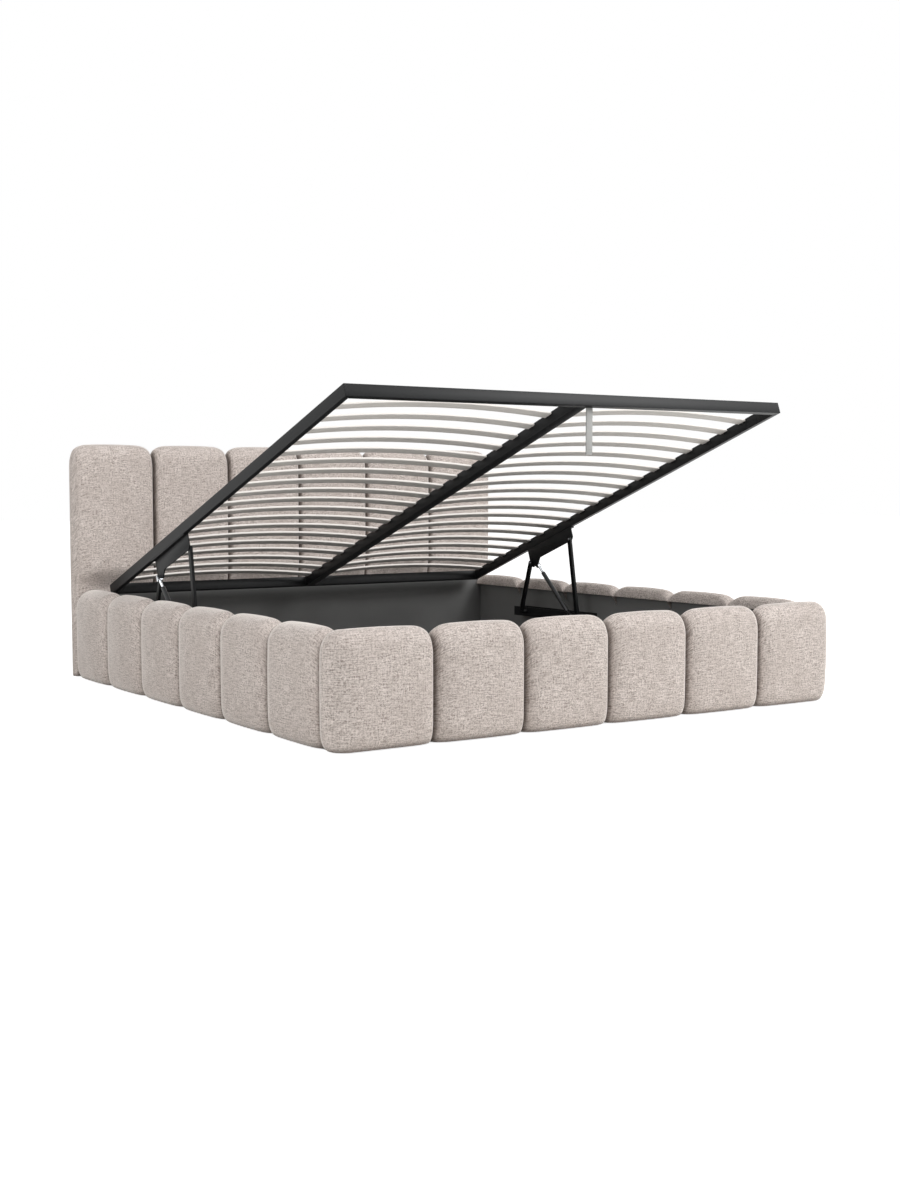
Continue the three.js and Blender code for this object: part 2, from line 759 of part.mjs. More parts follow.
// A doubled strap riveted to the inner face of the foot rail. Its tail hangs straight down
// when the frame is raised.
function addStrap() {
  const face = frameFootEnd + railWidth + seatGap;
  const doubled = 2 * strapThickness;
  const span = [strapOffset - strapWidth / 2, strapOffset + strapWidth / 2];
  const hang = (across, along) => [
    face + across * Math.cos(liftAngle) + along * Math.sin(liftAngle),
    frameBottom + across * Math.sin(liftAngle) - along * Math.cos(liftAngle),
  ];
  const seat = block([span[0], face, frameBottom], [span[1], face + doubled, frameBottom + strapSeat]);
  const tail = outline([
    hang(0, 0),
    hang(0, strapLength),
    hang(doubled, strapLength),
    hang(doubled, 0),
  ]);
  addPiece(liftedFrame, 'pull_strap', onFrame(join(seat, alongX(tail, ...span))), webbing);
}

addFootPads();
addSidePads(-1, 'left');
addSidePads(1, 'right');
addHeadboard();
addBox();
addLiftFrame();
for (const [side, word] of [[-1, 'left'], [1, 'right']]) {
  addBasePlate(side, word);
  addUpperBracket(side, word);
  addLinks(side, word);
  addStrut(side, word);
}
addStrap();

export default bed;
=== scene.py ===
import dataclasses
import functools
import json
import math
from collections.abc import Callable

import bmesh
import bpy
from mathutils import Matrix, Vector, noise


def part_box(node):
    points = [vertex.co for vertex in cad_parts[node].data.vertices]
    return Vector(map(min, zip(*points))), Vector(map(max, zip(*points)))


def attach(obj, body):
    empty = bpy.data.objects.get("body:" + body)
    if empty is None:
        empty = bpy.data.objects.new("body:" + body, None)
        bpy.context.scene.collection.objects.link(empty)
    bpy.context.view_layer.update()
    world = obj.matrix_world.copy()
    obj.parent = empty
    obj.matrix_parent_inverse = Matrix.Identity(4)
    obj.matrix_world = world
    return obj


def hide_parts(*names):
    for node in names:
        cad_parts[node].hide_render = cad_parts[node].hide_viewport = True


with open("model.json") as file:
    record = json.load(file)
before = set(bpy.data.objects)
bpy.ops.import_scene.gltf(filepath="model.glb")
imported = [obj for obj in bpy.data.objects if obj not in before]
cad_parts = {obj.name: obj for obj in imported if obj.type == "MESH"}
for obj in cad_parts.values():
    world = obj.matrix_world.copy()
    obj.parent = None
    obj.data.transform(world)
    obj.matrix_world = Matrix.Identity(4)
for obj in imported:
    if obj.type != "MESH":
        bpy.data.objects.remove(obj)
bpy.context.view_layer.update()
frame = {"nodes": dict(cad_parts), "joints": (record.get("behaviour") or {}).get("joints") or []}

bl_info = {
    "name": "Upholstered storage bed",
    "version": (1, 0, 0),
    "blender": (4, 5, 0),
    "location": "3D View > Sidebar > Bed",
    "description": "Upholstery, slats and fittings of a storage bed with a lift-up slatted frame",
    "category": "Object",
}

MM = 0.001
SIDES = (("left", -1), ("right", 1))
# Channels in the headboard, across the foot end, and along each side
CHANNELS = 6


# Reading the frame

def joint_named(name):
    """One joint of the model."""
    return next(joint for joint in frame["joints"] if joint["name"] == name)


LIFT = joint_named("frame_lift")
LIFT_CENTRE = Vector(LIFT["pos_m"])
LIFT_ANGLE = math.radians(LIFT["range_deg"][1])

# Takes a point of the closed lifting frame to where it is when the frame is raised
RAISED = (
    Matrix.Translation(LIFT_CENTRE)
    @ Matrix.Rotation(-LIFT_ANGLE, 4, "X")
    @ Matrix.Translation(-LIFT_CENTRE)
)
CLOSED = RAISED.inverted()


def closed_box(node):
    """Lowest and highest corner of one of the lifting frame's nodes, with the frame closed."""
    points = [CLOSED @ vertex.co for vertex in frame["nodes"][node].data.vertices]
    low = Vector(min(point[axis] for point in points) for axis in range(3))
    high = Vector(max(point[axis] for point in points) for axis in range(3))
    return low, high


# Settings

def linear(code):
    """An sRGB hex colour as linear values, with full alpha."""
    channels = [int(code[place:place + 2], 16) / 255 for place in (1, 3, 5)]
    return (*(
        value / 12.92 if value <= 0.04045 else ((value + 0.055) / 1.055) ** 2.4 for value in channels
    ), 1.0)


def toned(colour, share):
    """A linear colour made darker or lighter by a share."""
    return (*(min(1.0, value * share) for value in colour[:3]), 1.0)


def shade(code, name, description):
    """A colour that the sidebar can change."""
    return bpy.props.FloatVectorProperty(
        name=name, description=description, subtype="COLOR", size=4, min=0, max=1, default=linear(code)
    )


def number(value, name, description, **settings):
    """A number that the sidebar can change."""
    return bpy.props.FloatProperty(name=name, description=description, default=value, **settings)


def length(size, name, description):
    """A length that the sidebar can change, given in millimetres."""
    return number(size * MM, name, description, subtype="DISTANCE", unit="LENGTH", min=0)


def turn(degrees, name, description):
    """An angle that the sidebar can change."""
    return number(math.radians(degrees), name, description, subtype="ANGLE", unit="ROTATION")


def power(watts, name, description):
    """A lamp's power, which the sidebar can change."""
    return number(watts, name, description, unit="POWER", min=0)


class BedFabricSettings(bpy.types.PropertyGroup):
    """Colours and thread sizes of the cover"""

    pale_yarn: shade("#E6DCD6", "Pale yarn", "Lightest of the yarns that the cover is woven from")
    middle_yarn: shade("#B5A9A2", "Middle yarn", "Yarn that most of the cover shows")
    # Also the colour of the painted shade in the seams
    dark_yarn_and_seam_shade: shade("#5E534C", "Dark yarn", "Yarn of the dark flecks")
    # Tint of the shader's sheen, and also the colour of the highlight painted at the rims
    sheen_and_painted_rim: shade("#FFF8F2", "Fibre ends", "Colour of the loose fibre ends, which show at the rims")
    thread_spacing: length(2.6, "Thread spacing", "Distance between threads, drawn coarser than real")
    slub_length: length(42, "Slub length", "Length of the thick places along a thread")
    slub_width: length(3.6, "Slub width", "Width of the thick places of a thread")
    # Reach of the painted shade that darkens the colour in the seams
    painted_seam_shade_reach: length(30, "Seam reach", "How far from the bottom of a seam the pile is pressed flat")
    grain: length(7, "Grain", "Size of the finest flecks, drawn coarser than real")


class BedPadSettings(bpy.types.PropertyGroup):
    """Sizes of the pads, and of how they are sewn and laid over their boards"""

    crown: length(30, "Crown", "How far a channel swells past its seams")
    belly: length(9, "Belly", "Further swell of the middle of a channel")
    edge_run: length(62, "Edge run", "Distance over which a channel rises from its seam")
    bottom_run: length(60, "Bottom run", "Distance over which a channel rises from its lower edge")
    bottom_tuck: length(26, "Bottom tuck", "Depth that the lower edge is rounded through")
    back_hem: length(9, "Back hem", "Height over which the lower edge is rounded at the back")
    corner_drop: length(40, "Corner drop", "How far the top of a channel drops to its seams")
    bottom_lift: length(1, "Bottom lift", "How far the bottom of a channel rises to its seams")
    inner_lap: length(22, "Inner lap", "How far the side pads roll over the inner edge of their boards")
    board_cover: length(5, "Board cover", "Thickness of the cover where a seam crosses a board's top")
    hem_drop: length(7, "Hem drop", "How far the soft lower edge hangs below the board behind it")
    seam_tuck: length(18, "Seam tuck", "How deep the thread draws the cover in at a seam")
    seam_run: length(11, "Seam run", "Distance from the seam over which the cover is drawn in")
    top_arc: length(6, "Top arc", "How far the top edge arches over a whole channel")
    back_round: length(40, "Back rounding", "Rounding of the top towards the back of a channel")
    crest_share: number(0.3, "Crest", "Where a channel is highest, as a share of its depth", min=0, max=1)
    corner_radius: length(40, "Corner radius", "Radius of the board under the pads at the foot corners")
    corner_return: length(83, "Corner return", "How far the corner pads reach round onto the sides")
    pressed_top: length(352, "Pressed height", "Height up to which the box presses the headboard flat")
    pressed_fade: length(90, "Pressed fade", "Height over which the headboard swells out again")
    unevenness: length(0.9, "Unevenness", "How uneven the stuffing lies under the cover")


class BedFrameSettings(bpy.types.PropertyGroup):
    """Colours and sizes of the lifting frame and its slats"""

    powder_coat: shade("#151617", "Powder coat", "Colour of the coated steel")
    tube_radius: length(2.5, "Tube edge", "Outer corner radius of the steel tube")
    plate_radius: length(1, "Plate edge", "Rounding of the edges of the pressed plates")
    slat_foil: shade("#EBE6E1", "Slat foil", "Colour of the foil round the slats")
    slats_per_half: bpy.props.IntProperty(
        name="Slats per half", description="Slats on each side of the centre rail", min=2, default=20
    )
    slat_width: length(38, "Slat width", "Width of a slat")
    slat_thickness: length(8, "Slat thickness", "Thickness of a slat")
    slat_rise: length(31, "Slat rise", "Height of the slats' ends above the bottom of the rails")
    slat_bow: length(24, "Slat bow", "How far a slat bows up in its middle")
    slat_setback: length(30, "Slat setback", "Distance from an end rail to the nearest slat")


class BedBoxSettings(bpy.types.PropertyGroup):
    """Colours of the boards and battens"""

    lining: shade("#6C6C6B", "Lining", "Colour of the non-woven lining of the boards")
    timber: shade("#B08E66", "Timber", "Colour of the battens and the floor beam")


class BedStudioSettings(bpy.types.PropertyGroup):
    """Camera, lamps and sky"""

    camera_place: bpy.props.FloatVectorProperty(
        name="Camera place", description="Where the camera stands", subtype="TRANSLATION",
        unit="LENGTH", default=(-3.0463, -4.6752, 0.752),
    )
    camera_turn: turn(33.276, "Camera turn", "How far the camera is turned to the right of the bed's length")
    camera_dip: turn(4.28, "Camera dip", "How far the camera looks down")
    camera_lens: number(44.325, "Lens", "Focal length on a 36 mm sensor", unit="CAMERA")
    camera_shift: number(0.0167, "Shift", "Sideways shift of the lens, as a share of the picture's height")
    sky: number(0.27, "Sky", "Strength of the even light from all round", min=0)
    key_power: power(340, "Key light", "Power of the large lamp high in front on the right")
    front_power: power(60, "Front light", "Power of the lamp in front of the foot end")
    fill_power: power(109, "Fill light", "Power of the lamp on the left")
    top_power: power(102, "Top light", "Power of the lamp high over the foot end")


# Mesh helpers

def add_object(name, data):
    """Puts a mesh, a camera or a lamp in the scene under a name."""
    piece = bpy.data.objects.new(name, data)
    bpy.context.scene.collection.objects.link(piece)
    return piece


def mesh_from(name, points, faces, corners=None, sharp=math.radians(40)):
    """A smooth-shaded mesh with its faces pointing out, and its weave coordinates if it has any."""
    mesh = bpy.data.meshes.new(name)
    mesh.from_pydata([tuple(point) for point in points], [], faces)
    if corners:
        layer = mesh.uv_layers.new(name="weave")
        layer.data.foreach_set("uv", [value for corner in corners for value in corner])
    shell = bmesh.new()
    shell.from_mesh(mesh)
    bmesh.ops.recalc_face_normals(shell, faces=shell.faces)
    return shaded_mesh(mesh, shell, sharp)


def shaded_mesh(mesh, shell, sharp):
    """Writes a shell to its mesh, smooth-shaded but for the edges that are sharper than an angle."""
    shell.to_mesh(mesh)
    shell.free()
    mesh.polygons.foreach_set("use_smooth", [True] * len(mesh.polygons))
    if sharp:
        mesh.set_sharp_from_angle(angle=sharp)
    return mesh


def softened_copy(
    node, radius, segments, bent=math.radians(35), sharp=math.radians(25), weld=0.01 * MM
):
    """A copy of a node with its sharp edges rounded, as bending, planing or coating leaves them."""
    shell = bmesh.new()
    shell.from_mesh(frame["nodes"][node].data)
    bmesh.ops.remove_doubles(shell, verts=shell.verts, dist=weld)
    bmesh.ops.recalc_face_normals(shell, faces=shell.faces)
    edges = [edge for edge in shell.edges if len(edge.link_faces) == 2 and edge.calc_face_angle() > bent]
    bmesh.ops.bevel(
        shell, geom=edges, offset=radius, segments=segments, profile=0.5, affect="EDGES", clamp_overlap=True
    )
    return shaded_mesh(bpy.data.meshes.new(node), shell, sharp)


def loft(rings):
    """Points and faces of a skin drawn over closed rings of as many points each, with both ends filled."""
    count = len(rings[0])
    points = [point for ring in rings for point in ring]
    faces = [
        (
            row * count + place,
            row * count + (place + 1) % count,
            (row + 1) * count + (place + 1) % count,
            (row + 1) * count + place,
        )
        for row in range(len(rings) - 1)
        for place in range(count)
    ]
    faces.append(tuple(range(count)))
    faces.append(tuple(range(len(points) - count, len(points))))
    return points, faces


def merged(shapes):
    """Several sets of points and faces as one."""
    points, faces = [], []
    for shape_points, shape_faces in shapes:
        start = len(points)
        points += shape_points
        faces += [tuple(start + corner for corner in face) for face in shape_faces]
    return points, faces


def quarter_turn(steps):
    """Sine and cosine at even steps through a right angle."""
    angles = [math.pi / 2 * step / steps for step in range(steps + 1)]
    return [(math.sin(angle), math.cos(angle)) for angle in angles]


def rounded_rectangle(width, height, radius, steps=4):
    """Points round a rectangle about the origin with rounded corners."""
    points = []
    for corner, (across, up) in enumerate(((1, 1), (-1, 1), (-1, -1), (1, -1))):
        for step in range(steps + 1):
            angle = (corner + step / steps) * math.pi / 2
            points.append((
                across * (width / 2 - radius) + radius * math.cos(angle),
                up * (height / 2 - radius) + radius * math.sin(angle),
            ))
    return points


def dome(radius, height, steps=5, tip=0.02):
    """Profile of a low dome, as pairs of height and radius, up to the small flat at its crown."""
    return [(height * sine, radius * max(cosine, tip)) for sine, cosine in quarter_turn(steps)]


def turned(profile, place, sides=32):
    """A shape turned about a line, from pairs of distance along it and radius.

    Its points are given to place, which sets them in the bed, by their distances along and off the line.
    """
    angles = [math.tau * side / sides for side in range(sides)]
    return loft([
        [Vector(place(along, radius * math.cos(angle), radius * math.sin(angle))) for angle in angles]
        for along, radius in profile
    ])


def smooth_once(piece):
    """One round of subdivision, kept in the mesh."""
    modifier = piece.modifiers.new("subdivision", "SUBSURF")
    modifier.levels = 1
    modifier.render_levels = 1
    bpy.context.view_layer.update()
    evaluated = piece.evaluated_get(bpy.context.evaluated_depsgraph_get())
    finished = bpy.data.meshes.new_from_object(evaluated)
    rough = piece.data
    piece.modifiers.clear()
    piece.data = finished
    bpy.data.meshes.remove(rough)
    finished.name = piece.name


def dress(piece, material, body, slot, *nodes):
    """Gives a piece its material and moving body, and hides the CAD nodes it stands for; slot is not used.
    """
    piece.data.materials.clear()
    piece.data.materials.append(material)
    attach(piece, body)
    if nodes:
        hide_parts(*nodes)


def add_shape(name, shape, *finish):
    """Makes a piece from points and faces, and dresses it."""
    dress(add_object(name, mesh_from(name, *shape)), *finish)


def finish_node(node, finish, edge, material, body, slot, segments=2):
    """Puts a copy of a node with rounded edges in its place, and names it for how it is finished."""
    piece = add_object(f"{node}_{finish}", softened_copy(node, edge, segments))
    dress(piece, material, body, slot, node)


# Materials

def add_node(material, kind, inputs=(), output=None, **settings):
    """Adds a node with its settings, and gives back the output that is named, or else its first.

    The inputs go by their names, or in the node's own order. Each is a value, or the output that feeds it.
    """
    made = material.node_tree.nodes.new(f"ShaderNode{kind}")
    for name, value in settings.items():
        setattr(made, name, value)
    sockets = [socket for socket in made.inputs if socket.enabled]
    if isinstance(inputs, dict):
        named = {socket.name: socket for socket in sockets}
        inputs, sockets = inputs.values(), [named[name] for name in inputs]
    for socket, value in zip(sockets, inputs):
        if isinstance(value, bpy.types.NodeSocket):
            material.node_tree.links.new(value, socket)
        else:
            socket.default_value = value
    return next(entry for entry in made.outputs if entry.enabled and output in (None, entry.name))


def new_material(name, **settings):
    """A material whose shader takes the values given here, and the function that adds nodes to it."""
    material = bpy.data.materials.new(name)
    material.use_nodes = True
    shader = material.node_tree.nodes["Principled BSDF"]
    for socket, value in settings.items():
        shader.inputs[socket.replace("_", " ")].default_value = value
    return material, functools.partial(add_node, material)


def feed(material, **sockets):
    """Links outputs to the sockets of a material's shader."""
    shader = material.node_tree.nodes["Principled BSDF"]
    for socket, output in sockets.items():
        material.node_tree.links.new(output, shader.inputs[socket.replace("_", " ")])
    return material


def shared(name):
    """Lets pieces share a material, which is made when the first of them asks for it."""
    def wrap(make):
        @functools.wraps(make)
        def material():
            return bpy.data.materials.get(name) or make(name)
        return material
    return wrap


@shared("heathered plain weave")
def cover_fabric(name):
    """Polyester and linen blend in plain weave: heathered yarns with slubs, matt, with a soft sheen."""
    # Woven from yarns of three tones, so it looks flecked along both thread directions. A highlight is
    # painted into its colour at the rims of the pads.
    fabric = bpy.context.scene.bed_fabric
    material, node = new_material(
        name, Roughness=0.95, IOR=1.5, Sheen_Weight=0.9, Sheen_Roughness=0.3, Sheen_Tint=fabric.sheen_and_painted_rim,
        Specular_IOR_Level=0.15,
    )
    cloth = node("UVMap", uv_map="weave")

    def streaks(across, up, seed, detail=2.0, roughness=0.75):
        """Noise with grains as wide and as high as said, from 0 to 1."""
        stretched = node("Mapping", {
            "Vector": cloth, "Location": (seed, seed, 0), "Scale": (1 / across, 1 / up, 1),
        })
        return node("TexNoise", {
            "Vector": stretched, "Scale": 1.0, "Detail": detail, "Roughness": roughness,
        }, noise_dimensions="2D")

    # Slubs of the weft and the warp, and the finer flecks between them, drawn out to more than their
    # first range, so that the palest and the darkest yarns come out clear. Each range below gives a
    # value, the ends that it is read between, and what it is at those ends.
    weft = node("MapRange", (streaks(fabric.slub_length, fabric.slub_width, 0.0), 0.0, 1.0, -0.3, 1.3))
    warp = streaks(fabric.slub_width, fabric.slub_length, 7.3)
    fine = streaks(fabric.grain, fabric.grain * 0.7, 11.9, detail=4.0, roughness=0.92)
    flecks = node("MapRange", (fine, 0.25, 0.75, -0.4, 1.4))
    heather = node("Math", (node("Math", (weft, warp), operation="ADD"), flecks), operation="ADD")
    pale_share = node("MapRange", (heather, 1.1, 2.0, 0.0, 1.0))
    ground = node("Mix", (pale_share, fabric.middle_yarn, fabric.pale_yarn), data_type="RGBA")
    dark_share = node("MapRange", (heather, 0.7, 1.45, 0.7, 0.0))
    flecked = node("Mix", (dark_share, ground, fabric.dark_yarn_and_seam_shade), data_type="RGBA")

    # Slow changes of tone over a hand's width, from the way that the pile of fibre lies
    cloud_share = node("MapRange", (streaks(140 * MM, 160 * MM, 1.7), 0.35, 0.7, 0.0, 0.3))
    clouded = node("Mix", (cloud_share, flecked, fabric.middle_yarn), data_type="RGBA")

    # Painted highlight: seen edge on, the colour is lifted towards the pale sheen colour
    facing = node("LayerWeight", {"Blend": 0.5}, output="Facing")
    painted_rim_share = node("MapRange", (facing, 0.62, 0.92, 0.0, 0.85))
    painted_rim_colour = node("Mix", (painted_rim_share, clouded, fabric.sheen_and_painted_rim), data_type="RGBA")

    # Painted shade: deep in a seam, ambient occlusion darkens the colour towards the dark yarn
    seam_occlusion = node("AmbientOcclusion", {"Distance": fabric.painted_seam_shade_reach}, output="AO", samples=6)
    painted_seam_shade_share = node("MapRange", (seam_occlusion, 0.25, 0.8, 0.75, 0.0))
    cover = node("Mix", (painted_seam_shade_share, painted_rim_colour, fabric.dark_yarn_and_seam_shade), data_type="RGBA")

    # Threads over and under each other, drawn at a spacing that the picture can hold
    weave = [
        node("TexWave", {
            "Vector": cloth, "Scale": wave_scale(fabric.thread_spacing), "Distortion": 1.2, "Detail": 1.0,
            "Detail Scale": 2.0,
        }, output="Fac", bands_direction=direction)
        for direction in ("X", "Y")
    ]
    threads = node("Math", weave, operation="ADD")
    height = node("Math", (threads, heather), operation="ADD")
    bump = node("Bump", {"Height": height, "Strength": 0.6, "Distance": 0.5 * MM})
    return feed(material, Base_Color=cover, Normal=bump)


def wave_scale(spacing):
    """Scale of a wave texture whose bands are as far apart as said: it has one for each tau / 20."""
    return math.tau / spacing / 20


def grained(name, colour, grit, depth, mottle=0.12, patch=60, **settings):
    """A material of one colour with a fine grain of bumps, and a slight mottle many grains wide."""
    material, node = new_material(name, **settings)
    place = node("TexCoord", output="Object")
    grain = node("TexNoise", {"Vector": place, "Scale": 1 / grit, "Detail": 3.0, "Roughness": 0.55})
    broad = node("TexNoise", {"Vector": place, "Scale": 1 / (patch * grit), "Detail": 2.0})
    surface = node("Mix", (broad, toned(colour, 1 - mottle), toned(colour, 1 + mottle)), data_type="RGBA")
    bump = node("Bump", {"Height": grain, "Strength": 0.6, "Distance": depth})
    return feed(material, Base_Color=surface, Normal=bump)


def grained_wood(name, colour, streak_width, contrast, stretch=40, **settings):
    """A material with grain that runs along X: streaks of darker wood, many times as long as wide."""
    material, node = new_material(name, **settings)
    stretched = node("Mapping", {
        "Vector": node("TexCoord", output="Object"),
        "Scale": (1 / (stretch * streak_width), 1 / streak_width, 1 / streak_width),
    })
    grain = node("TexNoise", {
        "Vector": stretched, "Scale": 1.0, "Detail": 4.0, "Roughness": 0.6, "Distortion": 0.3,
    })
    share = node("MapRange", (grain, 0.35, 0.7, 0.0, 1.0))
    surface = node("Mix", (share, colour, toned(colour, 1 - contrast)), data_type="RGBA")
    bump = node("Bump", {"Height": grain, "Strength": 0.25, "Distance": 0.1 * MM})
    return feed(material, Base_Color=surface, Normal=bump)


def plated(name, colour, roughness, line=1.2 * MM):
    """Plated steel: bare metal whose shine is broken by fine polishing lines."""
    material, node = new_material(name, Metallic=1.0, Roughness=roughness)
    place = node("TexCoord", output="Object")
    lines = node("TexNoise", {"Vector": place, "Scale": 1 / line, "Detail": 2.0})
    rough = node("MapRange", (lines, 0.3, 0.7, roughness * 0.8, roughness * 1.3))
    worn = node("Mix", (lines, toned(colour, 0.9), colour), data_type="RGBA")
    return feed(material, Base_Color=worn, Roughness=rough)


@shared("satin powder coat")
def coated_steel(name):
    """Polyester powder coat, sprayed and baked: satin, with the slight orange peel of its melt."""
    return grained(
        name, bpy.context.scene.bed_frame.powder_coat, grit=1.6 * MM, depth=0.04 * MM, Roughness=0.42,
        IOR=1.5, Specular_IOR_Level=0.16,
    )


@shared("spun-bonded lining")
def board_lining(name):
    """Spun-bonded polypropylene, glued over board: matt felted fibres that scatter light softly."""
    return grained(
        name, bpy.context.scene.bed_box.lining, grit=2.2 * MM, depth=0.12 * MM, mottle=0.08,
        Roughness=0.88, IOR=1.5, Sheen_Weight=0.15, Specular_IOR_Level=0.3,
    )


@shared("moulded polypropylene")
def black_plastic(name):
    """Polypropylene, injection moulded: black, with a fine spark-eroded grain."""
    return grained(name, linear("#17181A"), grit=0.8 * MM, depth=0.05 * MM, Roughness=0.55, IOR=1.49)


@shared("sewing thread")
def sewing_thread(name):
    """Bonded polyester thread: a shade darker than the webbing that it is sewn through."""
    return grained(name, linear("#8C8C8B"), grit=0.4 * MM, depth=0.1 * MM, Roughness=0.7)


@shared("baked enamel")
def black_enamel(name):
    """Enamel baked on drawn tube: glossy black."""
    return grained(name, linear("#121315"), grit=2 * MM, depth=0.02 * MM, Roughness=0.28, IOR=1.5)


@shared("hard chromed rod")
def hard_chrome(name):
    """Hard chrome, ground and plated: a mirror shine with the faintest lines round it."""
    return plated(name, linear("#C9CCD0"), 0.12)


@shared("zinc plated steel")
def zinc_plate(name):
    """Steel fasteners, zinc plated and blackened: dark grey, slightly cloudy."""
    return plated(name, linear("#6E7073"), 0.4)


@shared("planed pine")
def planed_pine(name):
    """Pine, planed: pale with broad darker growth lines."""
    return grained_wood(name, bpy.context.scene.bed_box.timber, 7 * MM, 0.35, Roughness=0.7, IOR=1.5)


@shared("grey foiled beech")
def foiled_beech(name):
    """Beech laminate in printed foil: pale grey, satin, with the wood's grain showing through."""
    foil = bpy.context.scene.bed_frame.slat_foil
    return grained_wood(name, foil, 2.5 * MM, 0.08, Roughness=0.6, IOR=1.5, Specular_IOR_Level=0.3)


@shared("polyester webbing")
def ribbed_webbing(name, rib=2.4 * MM):
    """Polyester webbing, narrow woven: pale grey with ribs across it."""
    material, node = new_material(
        name, Roughness=0.8, IOR=1.5, Sheen_Weight=0.2, Specular_IOR_Level=0.3
    )
    ribs = node("TexWave", {
        "Vector": node("TexCoord", output="Object"), "Scale": wave_scale(rib), "Distortion": 0.4,
    }, output="Fac", bands_direction="Z")
    surface = node("Mix", (ribs, linear("#9A9A99"), linear("#B2B2B0")), data_type="RGBA")
    bump = node("Bump", {"Height": ribs, "Strength": 0.5, "Distance": 0.3 * MM})
    return feed(material, Base_Color=surface, Normal=bump)


# Pads

def rise_from_seam(distance, run):
    """How full a pad is at a distance from its seam: 0 on the seam, 1 at the end of the run."""
    share = min(max(distance / run, 0.0), 1.0)
    return math.sqrt(1.0 - (1.0 - share) ** 2)


